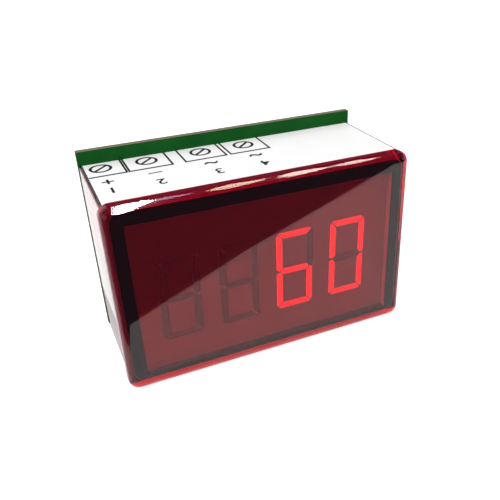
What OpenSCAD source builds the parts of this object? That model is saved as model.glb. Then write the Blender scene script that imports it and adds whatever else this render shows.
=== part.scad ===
// LED panel meter: a one-piece ruby case with a flange that covers the panel cut-out, a four-digit
// display behind its front wall, and a rear circuit board that carries four screw terminals.
// Millimetres. X to the right, Y to the rear, Z up. The origin is the centre of the flange's back
// face, where the meter seats on the panel.

/* [Case] */
// Width of the front flange
flange_w = 68; // [66:0.5:76]
// Height of the front flange
flange_h = 43; // [42:0.5:50]
// Thickness of the flange, front face to panel
flange_t = 3.2; // [2.8:0.1:4]
// Corner radius of the flange seen from the front
flange_corner_r = 2.4; // [2:0.1:4]
// Radius of the rounded front edge
front_edge_r = 1.9; // [0.6:0.1:2]
// Width of the body behind the flange
case_w = 66.8; // [66:0.1:67]
// Height of the body behind the flange
case_h = 41.4; // [40.6:0.1:41.6]
// Height of the body's centre above the flange's centre
case_rise = 0.2; // [0:0.1:0.4]
// Depth of the body behind the flange
case_depth = 24; // [20.5:0.5:30]
// Thickness of the body's side walls
case_wall = 1; // [0.9:0.1:1.3]
// Thickness of the clear front wall
lens_t = 1.4; // [1:0.1:1.6]
// Radius of the body's outer long edges
case_corner_r = 0.4; // [0.3:0.1:1]
// Radius of the cavity's long edges
cavity_corner_r = 2; // [1.5:0.1:3]

/* [Display] */
// Thickness of the black frame round the window
mask_t = 1.5; // [1:0.1:2]
// Width of the frame's upright sides
mask_side = 2.5; // [1.5:0.1:4]
// Width of the frame's upper bar
mask_upper = 2.7; // [1.5:0.1:4]
// Width of the frame's lower bar
mask_lower = 1; // [0.8:0.1:4]
// Thickness of the light block that holds the segments
light_block_t = 5; // [4.5:0.1:6]
// Number of digits
digit_count = 4; // [3:1:4]
// Distance from one digit to the next
digit_pitch = 13.3; // [12.8:0.1:14]
// Sideways shift of the row of digits
digit_shift = -0.4; // [-1:0.1:1]
// Drop of the digits' centre below the body's centre
digit_drop = 2.5; // [0:0.1:4]
// Width of a digit between the middles of its upright bars
digit_w = 7.4; // [7:0.1:9]
// Height of a digit between the middles of its outer bars
digit_h = 17.8; // [14:0.1:20]
// Width of one bar
bar_w = 1.4; // [1.2:0.1:2.2]
// Gap between the ends of neighbouring bars
bar_gap = 0.4; // [0.2:0.05:0.5]
// Cut across the digit's outer corners
bar_chamfer = 0.8; // [0.5:0.1:1.4]
// Lean of the digits to the right, in degrees
digit_lean = 1; // [0:0.5:6]
// Depth of a bar's clear filling
bar_t = 3.2; // [2.5:0.1:3.6]

/* [Boards] */
// Thickness of both circuit boards
board_t = 1.6; // [1.2:0.1:2]
// Height of the rear board above the body's top
board_above = 3.1; // [1:0.1:5]
// Overhang of the rear board at each side of the body
board_side = 0.1; // [0:0.05:0.4]
// Distance across the flats of the board spacers
spacer_af = 4.5; // [4:0.1:5]
// Distance of the spacers' axes from the cavity's sides
spacer_inset = 3.6; // [3.2:0.1:4.2]
// Height of the lower spacers' axes above the cavity's bottom
spacer_low = 4.4; // [3.6:0.1:5]
// Height of the upper spacers' axes above the lower ones
spacer_spread = 18; // [16:0.5:18.5]
// Radius of the board screws' shank
board_screw_r = 1.2; // [1:0.05:1.3]
// Radius of the board screws' head
board_screw_head_r = 2.3; // [2:0.1:2.5]
// Height of the board screws' head
board_screw_head_h = 1.6; // [1.2:0.1:2]
// Length of the board screws' shank in the spacer
board_screw_grip = 5; // [4:0.5:7]
// Distance from one header pin to the next
header_pitch = 2.54; // [2:0.01:2.54]
// Side of a square header pin
header_pin = 0.64; // [0.5:0.01:0.7]

/* [Terminals] */
// Distance from one terminal to the next in a block
pole_pitch = 9.5; // [9:0.1:10.2]
// Depth of a terminal block behind the board
block_depth = 13.6; // [13.4:0.1:15]
// Height of a terminal block along the board
block_h = 10; // [10:0.2:12]
// Drop of the terminal screws' axes below the rear board's top edge
block_drop = 10.5; // [8:0.1:11]
// Distance of the supply block from the rear board's side edge
block_edge = 1.3; // [0:0.1:2]
// Gap between the supply block and the input block
block_spread = 1.1; // [1:0.1:4]
// Radius of a terminal screw's shank
terminal_screw_r = 1.25; // [1.1:0.05:1.4]
// Radius of a terminal screw's head
terminal_head_r = 2.1; // [1.9:0.1:2.3]
// Height of a terminal screw's head
terminal_head_h = 1.5; // [1.2:0.1:1.6]
// Width of a wire clamp, side to side
clamp_w = 4.8; // [4.4:0.1:5]
// Depth of a wire clamp along the wire
clamp_depth = 5.2; // [4.8:0.1:5.4]
// Height of a wire clamp along its screw
clamp_h = 6.8; // [6.6:0.1:7]
// Travel of a wire clamp
clamp_travel = 3; // [2.5:0.1:3.1]
// Thickness of the brass contact
contact_t = 0.8; // [0.6:0.1:0.9]

/* [Fits] */
// Gap between stacked flat pieces in the case
stack_gap = 0.05; // [0.02:0.01:0.1]
// Gap round the frame in the cavity
frame_gap = 0.1; // [0.05:0.05:0.2]
// Gap round the light block and the display board in the cavity
block_gap = 0.5; // [0.3:0.1:0.8]
// Gap round a bar in its well
bar_fit = 0.1; // [0.05:0.01:0.15]
// Radial gap between a screw and its thread
thread_gap = 0.05; // [0.02:0.01:0.08]
// Radial gap between a screw head and its well
head_gap = 0.25; // [0.2:0.05:0.35]
// Gap between a wire clamp and its chamber
clamp_gap = 0.2; // [0.15:0.05:0.3]
// Gap round a pin in its board hole
pin_gap = 0.12; // [0.08:0.01:0.2]

/* [Hidden] */
$fn = 48;
past = 0.5;

// planes across the depth, front to rear
front_y = -flange_t;
lens_back_y = front_y + lens_t;
mask_y = lens_back_y + stack_gap;
block_front_y = mask_y + mask_t + stack_gap;
block_back_y = block_front_y + light_block_t;
display_board_y = block_back_y;
display_back_y = display_board_y + board_t;
rear_board_y = case_depth;
rear_face_y = rear_board_y + board_t;

// cross-section of the body and its cavity
cavity_w = case_w - 2 * case_wall;
cavity_h = case_h - 2 * case_wall;
case_top = case_rise + case_h / 2;
case_bottom = case_rise - case_h / 2;
cavity_top = case_top - case_wall;
cavity_bottom = case_bottom + case_wall;

// the frame's window
window_w = cavity_w - 2 * frame_gap - 2 * mask_side;
window_h = cavity_h - 2 * frame_gap - mask_lower - mask_upper;

// the rear board reaches from the body's bottom to above its top
board_w = case_w + 2 * board_side;
board_top = case_top + board_above;

// places of the spacers, as [x, z]
spacer_x = cavity_w / 2 - spacer_inset;
spacer_low_z = cavity_bottom + spacer_low;
SPACERS = [for (x = [-spacer_x, spacer_x], z = [spacer_low_z, spacer_low_z + spacer_spread]) [x, z]];
spacer_stud_r = 1.5;

// rows of header pins, as [x of the first pin, z, number of pins]
header_inset = 2.7;
header_side = 6.4;
lower_count = 12;
upper_count = 6;
lower_header_z = cavity_bottom + header_inset;
upper_header_z = cavity_top - header_inset;
upper_header_x = cavity_w / 2 - header_side - (upper_count - 1) * header_pitch;
HEADERS = [
  [-(lower_count - 1) * header_pitch / 2, lower_header_z, lower_count],
  [upper_header_x, upper_header_z, upper_count]
];
header_strip = 2.5;

// terminals, numbered from the supply side, and the levels in a block behind the board
terminal_z = board_top - block_drop;
supply_block_x = -board_w / 2 + block_edge + pole_pitch;
input_block_x = supply_block_x + 2 * pole_pitch + block_spread;
function poles_of(block_x) = [block_x - pole_pitch / 2, block_x + pole_pitch / 2];
POLE_X = concat(poles_of(supply_block_x), poles_of(input_block_x));
leg_clear = 0.6;
clamp_wall = 0.7;
clamp_top_wall = 1.4;
clamp_floor = 0.8;
clamp_low = 1;
contact_level = clamp_low + clamp_h - clamp_top_wall - 2 * clamp_gap - contact_t;
chamber_top = clamp_low + clamp_h + clamp_travel + clamp_gap;
ledge_t = 0.6;
head_level = chamber_top + ledge_t + stack_gap;
contact_leg_z = -clamp_depth / 2 - leg_clear - contact_t;
contact_w = clamp_w - 2 * clamp_wall - 2 * clamp_gap;
contact_pin_w = 1;
contact_pin_z = contact_leg_z + contact_t / 2;
contact_hole_r = norm([contact_pin_w, contact_t]) / 2 + pin_gap;

// bars of a digit in the usual lettering, and the chips behind them
BARS = ["a", "b", "c", "d", "e", "f", "g"];
led_size = [1.6, 0.8];
led_t = 0.7;

// locating pegs of the light block in the display board
peg_inset = 12;
peg_drop = 8.2;
PEG_X = [-cavity_w / 2 + peg_inset, cavity_w / 2 - peg_inset];
peg_z = cavity_top - peg_drop;
peg_r = 0.9;
peg_short = 0.3;

// parts on the back of the display board
resistor_count = 8;
resistor_pitch = 3.6;
resistor_z = 8;
resistor_size = [1.6, 3.2];
resistor_t = 0.6;
driver_z = -7;
driver_l = 2.9;
driver_w = 1.3;
driver_t = 1;
driver_leg_w = 0.4;
driver_leg_l = 0.8;
driver_leg_t = 0.3;
driver_leg_x = 0.95;

// parts on the front of the rear board, as [x, z], and the leads that go through it
lead_r = 0.3;
lead_stub = 1;
standoff = 0.1;
parts_row = 6.5;
side_parts_x = spacer_x - 8;
function pair(at, dx) = [[at[0] - dx, at[1]], [at[0] + dx, at[1]]];
controller_l = 12.8;
controller_w = 7.5;
controller_t = 2.3;
leg_pitch = 1.27;
leg_w = 0.4;
leg_t = 0.25;
leg_reach = 1.65;
leg_foot = 1;
legs_a_side = 10;
CONTROLLER_AT = [6.6, spacer_low_z + parts_row];
can_l = 10.2;
can_w = 3.8;
can_t = 3.4;
rim_w = 0.45;
rim_t = 0.5;
can_lead_x = 2.44;
CRYSTAL_AT = [-6.4, spacer_low_z + parts_row];
CRYSTAL_LEADS = pair(CRYSTAL_AT, can_lead_x);
package_w = 10;
package_h = 9;
package_t = 4.4;
tab_h = 6.2;
tab_t = 1.3;
tab_hole_r = 1.8;
package_lead_pitch = 2.54;
package_lead_drop = 2.2;
package_lead_t = 2.4;
REGULATOR_AT = [-side_parts_x, spacer_low_z + 4];
REGULATOR_LEADS = [for (i = [-1, 0, 1]) REGULATOR_AT + [i * package_lead_pitch, -package_lead_drop]];
filter_r = 4;
filter_l = 11.5;
output_r = 2.5;
output_l = 9;
roll_deep = 0.35;
roll_foot = 1;
filter_lead_x = 1.75;
output_lead_x = 1;
FILTER_AT = [side_parts_x, spacer_low_z + 12.5];
FILTER_LEADS = pair(FILTER_AT, filter_lead_x);
OUTPUT_AT = [side_parts_x, spacer_low_z + 3.5];
OUTPUT_LEADS = pair(OUTPUT_AT, output_lead_x);
coupler_w = 4.6;
coupler_h = 6.5;
coupler_t = 3.4;
coupler_row = 3.81;
COUPLER_AT = [-7.5, spacer_low_z + 16.9];
COUPLER_LEADS = [
  for (dx = [-leg_pitch, leg_pitch], dz = [-coupler_row, coupler_row]) COUPLER_AT + [dx, dz]
];
resistor_r = 1.5;
resistor_l = 8;
resistor_lead_x = 6.35;
RESISTOR_UPPER_AT = [5.5, spacer_low_z + 19.5];
RESISTOR_UPPER_LEADS = pair(RESISTOR_UPPER_AT, resistor_lead_x);
RESISTOR_LOWER_AT = [5.5, spacer_low_z + 15.3];
RESISTOR_LOWER_LEADS = pair(RESISTOR_LOWER_AT, resistor_lead_x);
diode_r = 1.3;
diode_l = 5.2;
diode_lead_x = 5.08;
DIODE_AT = [-side_parts_x, spacer_low_z + 21.3];
DIODE_LEADS = pair(DIODE_AT, diode_lead_x);
LEADS = concat(
  CRYSTAL_LEADS, REGULATOR_LEADS, FILTER_LEADS, OUTPUT_LEADS, COUPLER_LEADS,
  RESISTOR_UPPER_LEADS, RESISTOR_LOWER_LEADS, DIODE_LEADS
);

// small forms of the screws, the label and the terminal blocks
header_hole_r = header_pin * sqrt(2) / 2 + pin_gap;
head_dome_r = 4;
recess_w = 0.6;
recess_l = 2.6;
recess_deep = 0.8;
label_gap = 0.1;
label_t = 0.15;
label_half_w = case_w / 2 - case_corner_r - label_gap;
block_slope = 1.8;
mouth_step = 0.5;
groove_w = 0.6;
groove_deep = 0.6;
edge_break = 0.25;
slot_w = 0.7;
slot_deep = 0.9;

// digits, counted from the left
digit_z = case_rise - digit_drop;
function digit_x(i) = digit_shift + (i - (digit_count - 1) / 2) * digit_pitch;

// ---------------------------------------------------------------- shared shapes

// a flat outline, drawn as seen from the front, made solid between two depths
module slab(y0, y1) {
  translate([0, y1, 0]) rotate([90, 0, 0]) linear_extrude(height = y1 - y0) children();
}

// a round bar along the depth
module rod(r, y0, y1, x = 0, z = 0) {
  translate([x, y0, z]) rotate([-90, 0, 0]) cylinder(r = r, h = y1 - y0);
}

// a block given by its two corners
module block(low, high) {
  translate(low) cube(high - low);
}

module rounded_rect(w, h, r) {
  square([w - 2 * r, h], center = true);
  square([w, h - 2 * r], center = true);
  for (x = [-1, 1], y = [-1, 1]) translate([x * (w / 2 - r), y * (h / 2 - r)]) circle(r = r);
}

// a bar with half-round ends
module stadium(l, w) {
  square([l - w, w], center = true);
  for (x = [-1, 1]) translate([x * (l - w) / 2, 0]) circle(r = w / 2);
}

// section through a plate's edge: depth across, half width up, front corners rounded
module edge_section(half) {
  translate([front_y + front_edge_r, -half]) square([flange_t - front_edge_r, 2 * half]);
  translate([front_y, -half + front_edge_r]) square([flange_t, 2 * (half - front_edge_r)]);
  for (s = [-1, 1]) {
    translate([front_y + front_edge_r, s * (half - front_edge_r)]) circle(r = front_edge_r);
  }
}

// ---------------------------------------------------------------- case

// the flange: two crossing runs with rounded front edges, and a turned quarter at each corner
module flange() {
  run_x = flange_w / 2 - flange_corner_r;
  run_z = flange_h / 2 - flange_corner_r;
  translate([-run_x, 0, 0]) rotate([90, 0, 90]) linear_extrude(height = 2 * run_x)
    edge_section(flange_h / 2);
  translate([0, 0, -run_z]) linear_extrude(height = 2 * run_z)
    mirror([1, -1]) edge_section(flange_w / 2);
  for (x = [-run_x, run_x], z = [-run_z, run_z]) {
    translate([x, 0, z]) rotate([-90, 0, 0]) rotate_extrude() intersection() {
      mirror([1, -1]) edge_section(flange_corner_r);
      translate([0, front_y]) square([flange_corner_r, flange_t]);
    }
  }
}

module housing() color("firebrick") {
  difference() {
    union() {
      flange();
      translate([0, 0, case_rise]) slab(-past, case_depth) rounded_rect(case_w, case_h, case_corner_r);
    }
    translate([0, 0, case_rise]) slab(lens_back_y, case_depth + past)
      rounded_rect(cavity_w, cavity_h, cavity_corner_r);
    block([-label_half_w - stack_gap, label_gap - stack_gap, case_top - label_t],
          [label_half_w + stack_gap, case_depth + past, case_top + past]);
  }
}

// ---------------------------------------------------------------- display

module mask_frame() color("black") {
  translate([0, 0, case_rise]) slab(mask_y, mask_y + mask_t) difference() {
    rounded_rect(cavity_w - 2 * frame_gap, cavity_h - 2 * frame_gap, cavity_corner_r - frame_gap);
    translate([-cavity_w / 2 + frame_gap + mask_side, -cavity_h / 2 + frame_gap + mask_lower])
      square([window_w, window_h]);
  }
}

// outline of one bar of a digit; grow widens it into the well that holds it
function lean(p) = [p[0] + p[1] * tan(digit_lean), p[1]];
function flip(points, sx, sy) = [for (p = points) lean([sx * p[0], sy * p[1]])];
module bar_outline(name, grow = 0) {
  w = digit_w / 2;
  h = digit_h / 2;
  s = bar_w / 2 + grow;
  g = bar_gap / 2 - grow;
  near = (2 * s - bar_chamfer - g) / 2;
  far = (2 * s - bar_chamfer + g) / 2;
  top = [
    [-w + s + g, h - s], [-w - near, h + far], [-w - s + bar_chamfer, h + s],
    [w + s - bar_chamfer, h + s], [w + near, h + far], [w - s - g, h - s]
  ];
  upright = [
    [w - s, h - s - g], [w + far, h + near], [w + s, h + s - bar_chamfer],
    [w + s, s / 2 + g], [w, g], [w - s, s + g]
  ];
  middle = [[-w + g, 0], [-w + s + g, s], [w - s - g, s], [w - g, 0], [w - s - g, -s], [-w + s + g, -s]];
  if (name == "a") polygon(flip(top, 1, 1));
  if (name == "b") polygon(flip(upright, 1, 1));
  if (name == "c") polygon(flip(upright, 1, -1));
  if (name == "d") polygon(flip(top, 1, -1));
  if (name == "e") polygon(flip(upright, -1, -1));
  if (name == "f") polygon(flip(upright, -1, 1));
  if (name == "g") polygon(flip(middle, 1, 1));
}

// moulded block behind the window, with a well right through it for every bar
module light_block() color("gray") {
  difference() {
    union() {
      translate([0, 0, case_rise]) slab(block_front_y, block_back_y)
        rounded_rect(cavity_w - 2 * block_gap, cavity_h - 2 * block_gap, cavity_corner_r - block_gap);
      for (x = PEG_X) rod(peg_r, block_back_y - past, display_back_y - peg_short, x, peg_z);
    }
    for (i = [0 : digit_count - 1]) {
      translate([digit_x(i), 0, digit_z]) slab(block_front_y - past, block_back_y + past)
        for (name = BARS) bar_outline(name, bar_fit);
    }
  }
}

// clear fillings of a digit's wells, flush with the block's front
module bars(i, names) {
  translate([digit_x(i), 0, digit_z]) slab(block_front_y, block_front_y + bar_t)
    for (name = names) bar_outline(name);
}

module digit_1_bars() color("maroon") bars(0, BARS);
module digit_2_bars() color("maroon") bars(1, BARS);
module digit_3_bars() color("red") bars(2, ["a", "c", "d", "e", "f", "g"]);
module digit_4_bars() color("red") bars(3, ["a", "b", "c", "d", "e", "f"]);
module digit_3_dark_bar() color("maroon") bars(2, ["b"]);
module digit_4_dark_bar() color("maroon") bars(3, ["g"]);

// one light-emitting chip in the middle of each well
module segment_leds() color("lightyellow") {
  w = digit_w / 2;
  h = digit_h / 2;
  level = [for (z = [-h, 0, h]) [0, z]];
  upright = [for (x = [-w, w], z = [-h / 2, h / 2]) [x, z]];
  for (i = [0 : digit_count - 1], p = concat(level, upright)) {
    at = lean(p);
    long = p[0] == 0 ? led_size : [led_size[1], led_size[0]];
    translate([digit_x(i) + at[0], 0, digit_z + at[1]])
      slab(display_board_y - led_t, display_board_y) square(long, center = true);
  }
}

// ---------------------------------------------------------------- display board

module display_board() color("darkgreen") {
  difference() {
    translate([0, 0, case_rise]) slab(display_board_y, display_back_y)
      rounded_rect(cavity_w - 2 * block_gap, cavity_h - 2 * block_gap, cavity_corner_r - block_gap);
    for (p = SPACERS) drill(spacer_stud_r + thread_gap, p[0], p[1]);
    for (x = PEG_X) drill(peg_r + thread_gap, x, peg_z);
    for (p = header_places()) drill(header_hole_r, p[0], p[1]);
  }
}

// a hole through both boards' depth, used by whichever board cuts it
module drill(r, x, z) {
  rod(r, display_board_y - past, rear_face_y + past, x, z);
}

module segment_resistors() color("dimgray") {
  for (i = [0 : resistor_count - 1]) {
    translate([(i - (resistor_count - 1) / 2) * resistor_pitch, 0, resistor_z])
      slab(display_back_y, display_back_y + resistor_t) square(resistor_size, center = true);
  }
}

// transistors that switch the digits, each with one leg above and two below
module digit_drivers() color("dimgray") {
  for (i = [0 : digit_count - 1]) {
    x = digit_x(i);
    leg_z = driver_w / 2 + driver_leg_l / 4;
    slab(display_back_y + standoff, display_back_y + standoff + driver_t) translate([x, driver_z])
      square([driver_l, driver_w], center = true);
    for (leg = [[0, leg_z], [-driver_leg_x, -leg_z], [driver_leg_x, -leg_z]]) {
      slab(display_back_y, display_back_y + driver_leg_t) translate([x + leg[0], driver_z + leg[1]])
        square([driver_leg_w, driver_leg_l], center = true);
    }
  }
}

// ---------------------------------------------------------------- between the boards

// hexagonal spacers: a stud swaged in the display board, a thread for the screw at the rear
module board_spacers() color("goldenrod") {
  thread_r = board_screw_r + thread_gap;
  for (p = SPACERS) difference() {
    union() {
      translate([p[0], display_back_y, p[1]]) rotate([-90, 0, 0])
        cylinder(r = spacer_af / 2 / cos(30), h = rear_board_y - display_back_y, $fn = 6);
      rod(spacer_stud_r, display_board_y + stack_gap, display_back_y + past, p[0], p[1]);
    }
    rod(thread_r, rear_board_y - board_screw_grip - past, rear_board_y + past, p[0], p[1]);
  }
}

function header_places() = [for (h = HEADERS, i = [0 : h[2] - 1]) [h[0] + i * header_pitch, h[1]]];

module header_strips() color("black") {
  for (h = HEADERS) {
    length = h[2] * header_pitch;
    difference() {
      block([h[0] - header_pitch / 2, display_back_y, h[1] - header_strip / 2],
            [h[0] - header_pitch / 2 + length, display_back_y + header_strip, h[1] + header_strip / 2]);
      for (i = [0 : h[2] - 1]) {
        translate([h[0] + i * header_pitch, 0, h[1]]) slab(display_board_y, rear_board_y)
          square(header_pin + 2 * stack_gap, center = true);
      }
    }
  }
}

module header_pins() color("gold") {
  for (p = header_places()) {
    translate([p[0], 0, p[1]]) slab(display_board_y + stack_gap, rear_face_y + lead_stub)
      square(header_pin, center = true);
  }
}

// ---------------------------------------------------------------- rear board

module rear_board() color("green") {
  difference() {
    slab(rear_board_y, rear_face_y) translate([-board_w / 2, case_bottom])
      square([board_w, board_top - case_bottom]);
    for (p = SPACERS) drill(board_screw_r + thread_gap, p[0], p[1]);
    for (p = header_places()) drill(header_hole_r, p[0], p[1]);
    for (x = POLE_X) drill(contact_hole_r, x, terminal_z + contact_pin_z);
    for (p = LEADS) drill(lead_r + pin_gap, p[0], p[1]);
  }
}

// a turned shape about the depth axis, from a section of [radius, depth]
module turned(x, z) {
  translate([x, 0, z]) rotate([-90, 0, 0]) rotate_extrude() children();
}

// pan-head screws with a cross recess
module board_screws() color("silver") {
  top = rear_face_y + board_screw_head_h;
  for (p = SPACERS) difference() {
    union() {
      turned(p[0], p[1]) intersection() {
        translate([0, rear_face_y]) square([board_screw_head_r, board_screw_head_h]);
        translate([0, top - head_dome_r]) circle(r = head_dome_r, $fn = 96);
      }
      rod(board_screw_r, rear_board_y - board_screw_grip, rear_face_y + past, p[0], p[1]);
    }
    for (size = [[recess_w, recess_l], [recess_l, recess_w]]) {
      translate([p[0], 0, p[1]]) slab(top - recess_deep, top + past) square(size, center = true);
    }
  }
}

// ---------------------------------------------------------------- label

// printed film, flush in a shallow pocket in the body's top
module top_label() color("white") {
  block([-label_half_w, label_gap, case_top - label_t], [label_half_w, case_depth - label_gap, case_top]);
}

// ---------------------------------------------------------------- terminals

// section of a terminal block: depth behind the board across, height about the screw's axis up
module block_section() {
  z = block_h / 2;
  polygon([
    [0, -z], [block_depth - block_slope, -z], [block_depth, -z + block_slope],
    [block_depth, z - block_slope], [block_depth - block_slope, z], [0, z]
  ]);
}

// two-way housing: each pole has a chamber open to the board, a mouth for the wire on top and a
// well for the screw at the rear
module terminal_block(block_x) {
  translate([0, rear_face_y, terminal_z]) difference() {
    translate([block_x - pole_pitch, 0, 0]) rotate([90, 0, 90])
      linear_extrude(height = 2 * pole_pitch) block_section();
    for (x = poles_of(block_x)) {
      block([x - clamp_w / 2 - clamp_gap, -past, contact_leg_z - frame_gap],
            [x + clamp_w / 2 + clamp_gap, chamber_top, clamp_depth / 2 + clamp_gap]);
      block([x - contact_w / 2, clamp_low + clamp_floor, 0], [x + contact_w / 2, contact_level, block_h]);
      lip = contact_w / 2 + mouth_step;
      block([x - lip, clamp_low + clamp_floor - mouth_step, block_h / 2 - mouth_step],
            [x + lip, contact_level + mouth_step, block_h]);
      rod(terminal_screw_r + head_gap, 0, block_depth + past, x, 0);
      rod(terminal_head_r + head_gap, chamber_top + ledge_t, block_depth + past, x, 0);
    }
    block([block_x - groove_w / 2, block_depth - groove_deep, -block_h],
          [block_x + groove_w / 2, block_depth + past, block_h]);
  }
}

module terminal_block_supply() color("seagreen") terminal_block(supply_block_x);
module terminal_block_input() color("seagreen") terminal_block(input_block_x);

// bent brass strip: a shelf inside the clamp, a leg down to the board and a pin through it
module terminal_contacts(block_x) {
  for (x = poles_of(block_x)) translate([x, rear_face_y, terminal_z]) {
    block([-contact_w / 2 + stack_gap, contact_level, contact_leg_z],
          [contact_w / 2 - stack_gap, contact_level + contact_t, clamp_depth / 2 - clamp_gap]);
    block([-contact_w / 2 + stack_gap, 0, contact_leg_z],
          [contact_w / 2 - stack_gap, contact_level + contact_t, contact_leg_z + contact_t]);
    block([-contact_pin_w / 2, -board_t - lead_stub, contact_leg_z],
          [contact_pin_w / 2, past, contact_leg_z + contact_t]);
  }
}

module terminal_contacts_supply() color("goldenrod") terminal_contacts(supply_block_x);
module terminal_contacts_input() color("goldenrod") terminal_contacts(input_block_x);

// slotted screw, held by its head and threaded in the clamp
module terminal_screw(n) {
  r = terminal_screw_r;
  tip = contact_level + contact_t + 3 * stack_gap;
  top = head_level + terminal_head_h;
  translate([0, rear_face_y, 0]) difference() {
    turned(POLE_X[n - 1], terminal_z) polygon([
      [0, tip], [r - edge_break, tip], [r, tip + edge_break], [r, head_level],
      [terminal_head_r, head_level], [terminal_head_r, top - edge_break],
      [terminal_head_r - edge_break, top], [0, top]
    ]);
    translate([POLE_X[n - 1], 0, terminal_z]) slab(top - slot_deep, top + past)
      square([2 * terminal_head_r + past, slot_w], center = true);
  }
}

module terminal_screw_1() color("silver") terminal_screw(1);
module terminal_screw_2() color("silver") terminal_screw(2);
module terminal_screw_3() color("silver") terminal_screw(3);
module terminal_screw_4() color("silver") terminal_screw(4);

// square loop that the screw draws along, pressing the wire against the contact
module wire_clamp(n) {
  translate([POLE_X[n - 1], rear_face_y, terminal_z]) difference() {
    block([-clamp_w / 2, clamp_low, -clamp_depth / 2], [clamp_w / 2, clamp_low + clamp_h, clamp_depth / 2]);
    block([-clamp_w / 2 + clamp_wall, clamp_low + clamp_floor, -clamp_depth],
          [clamp_w / 2 - clamp_wall, clamp_low + clamp_h - clamp_top_wall, clamp_depth]);
    rod(terminal_screw_r + thread_gap, clamp_low + clamp_h / 2, clamp_low + clamp_h + past);
  }
}

module wire_clamp_1() color("gold") wire_clamp(1);
module wire_clamp_2() color("gold") wire_clamp(2);
module wire_clamp_3() color("gold") wire_clamp(3);
module wire_clamp_4() color("gold") wire_clamp(4);

// ---------------------------------------------------------------- parts on the rear board

// straight leads from a part's foot through the board
module board_leads(places, from_y) {
  for (p = places) rod(lead_r, from_y, rear_face_y + lead_stub, p[0], p[1]);
}

// section of a bent leg: out of the package's side, down, and out along the board
module leg_section() {
  root = controller_w / 2;
  tip = root + leg_reach;
  mid = rear_board_y - standoff - controller_t / 2;
  translate([mid - leg_t, root - leg_t]) square([leg_t, leg_reach - leg_foot + 2 * leg_t]);
  translate([mid - leg_t, tip - leg_foot]) square([rear_board_y - mid + leg_t, leg_t]);
  translate([rear_board_y - leg_t, tip - leg_foot]) square([leg_t, leg_foot]);
}

// flat package with bent legs along each long side
module microcontroller() color("dimgray") {
  translate([CONTROLLER_AT[0], 0, CONTROLLER_AT[1]]) {
    slab(rear_board_y - standoff - controller_t, rear_board_y - standoff)
      square([controller_l, controller_w], center = true);
    for (i = [0 : legs_a_side - 1], s = [0, 1]) {
      translate([(i - (legs_a_side - 1) / 2) * leg_pitch - leg_w / 2, 0, 0]) mirror([0, 0, s])
        rotate([90, 0, 90]) linear_extrude(height = leg_w) leg_section();
    }
  }
}

module crystal() color("silver") {
  translate([CRYSTAL_AT[0], 0, CRYSTAL_AT[1]]) {
    slab(rear_board_y - can_t, rear_board_y) stadium(can_l, can_w);
    slab(rear_board_y - rim_t, rear_board_y) stadium(can_l + 2 * rim_w, can_w + 2 * rim_w);
  }
  board_leads(CRYSTAL_LEADS, rear_board_y - rim_t);
}

// power package lying flat, its tab against the board and its legs bent through it
module voltage_regulator() color("dimgray") {
  x = REGULATOR_AT[0];
  z = REGULATOR_AT[1];
  slab(rear_board_y - package_t, rear_board_y) translate([x - package_w / 2, z])
    square([package_w, package_h]);
  difference() {
    slab(rear_board_y - tab_t, rear_board_y) translate([x - package_w / 2, z + package_h - tab_t])
      square([package_w, tab_h + tab_t]);
    rod(tab_hole_r, rear_board_y - tab_t - past, rear_board_y + past, x, z + package_h + tab_h / 2);
  }
  for (p = REGULATOR_LEADS) {
    rod(lead_r, rear_board_y - package_lead_t, rear_face_y + lead_stub, p[0], p[1]);
    translate([p[0], rear_board_y - package_lead_t, p[1]])
      cylinder(r = lead_r, h = package_lead_drop + lead_r);
  }
}

// round capacitor standing on its leads, with a rolled groove near its foot
module can_capacitor(at, r, length, leads) {
  foot = rear_board_y - standoff;
  turned(at[0], at[1]) polygon([
    [0, foot], [r, foot], [r, foot - roll_foot], [r - roll_deep, foot - roll_foot - roll_deep],
    [r, foot - roll_foot - 2 * roll_deep], [r, foot - length + roll_deep], [r - roll_deep, foot - length],
    [0, foot - length]
  ]);
  board_leads(leads, foot - standoff);
}

module filter_capacitor() color("midnightblue") can_capacitor(FILTER_AT, filter_r, filter_l, FILTER_LEADS);
module output_capacitor() color("midnightblue") can_capacitor(OUTPUT_AT, output_r, output_l, OUTPUT_LEADS);

module input_optocoupler() color("whitesmoke") {
  mid = rear_board_y - standoff - coupler_t / 2;
  translate([COUPLER_AT[0], 0, COUPLER_AT[1]]) slab(mid - coupler_t / 2, mid + coupler_t / 2)
    square([coupler_w, coupler_h], center = true);
  for (p = COUPLER_LEADS) {
    out = p[1] > COUPLER_AT[1] ? 1 : -1;
    body_end = COUPLER_AT[1] + out * (coupler_h / 2 - leg_t);
    leg_end = p[1] + out * leg_t / 2;
    block([p[0] - leg_w / 2, mid - leg_t / 2, min(body_end, leg_end)],
      [p[0] + leg_w / 2, mid + leg_t / 2, max(body_end, leg_end)]);
    block([p[0] - leg_w / 2, mid, p[1] - leg_t / 2], [p[0] + leg_w / 2, rear_face_y + lead_stub, p[1] + leg_t / 2]);
  }
}

// round part lying along X between two bent leads
module axial(at, r, length, leads) {
  y = rear_board_y - r - standoff;
  translate([at[0] - length / 2, y, at[1]]) rotate([0, 90, 0]) cylinder(r = r, h = length);
  translate([leads[0][0], y, at[1]]) rotate([0, 90, 0]) cylinder(r = lead_r, h = leads[1][0] - leads[0][0]);
  for (p = leads) rod(lead_r, y, rear_face_y + lead_stub, p[0], p[1]);
}

module input_resistors() color("tan") {
  axial(RESISTOR_UPPER_AT, resistor_r, resistor_l, RESISTOR_UPPER_LEADS);
  axial(RESISTOR_LOWER_AT, resistor_r, resistor_l, RESISTOR_LOWER_LEADS);
}

module supply_diode() color("black") axial(DIODE_AT, diode_r, diode_l, DIODE_LEADS);

// ---------------------------------------------------------------- output

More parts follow.
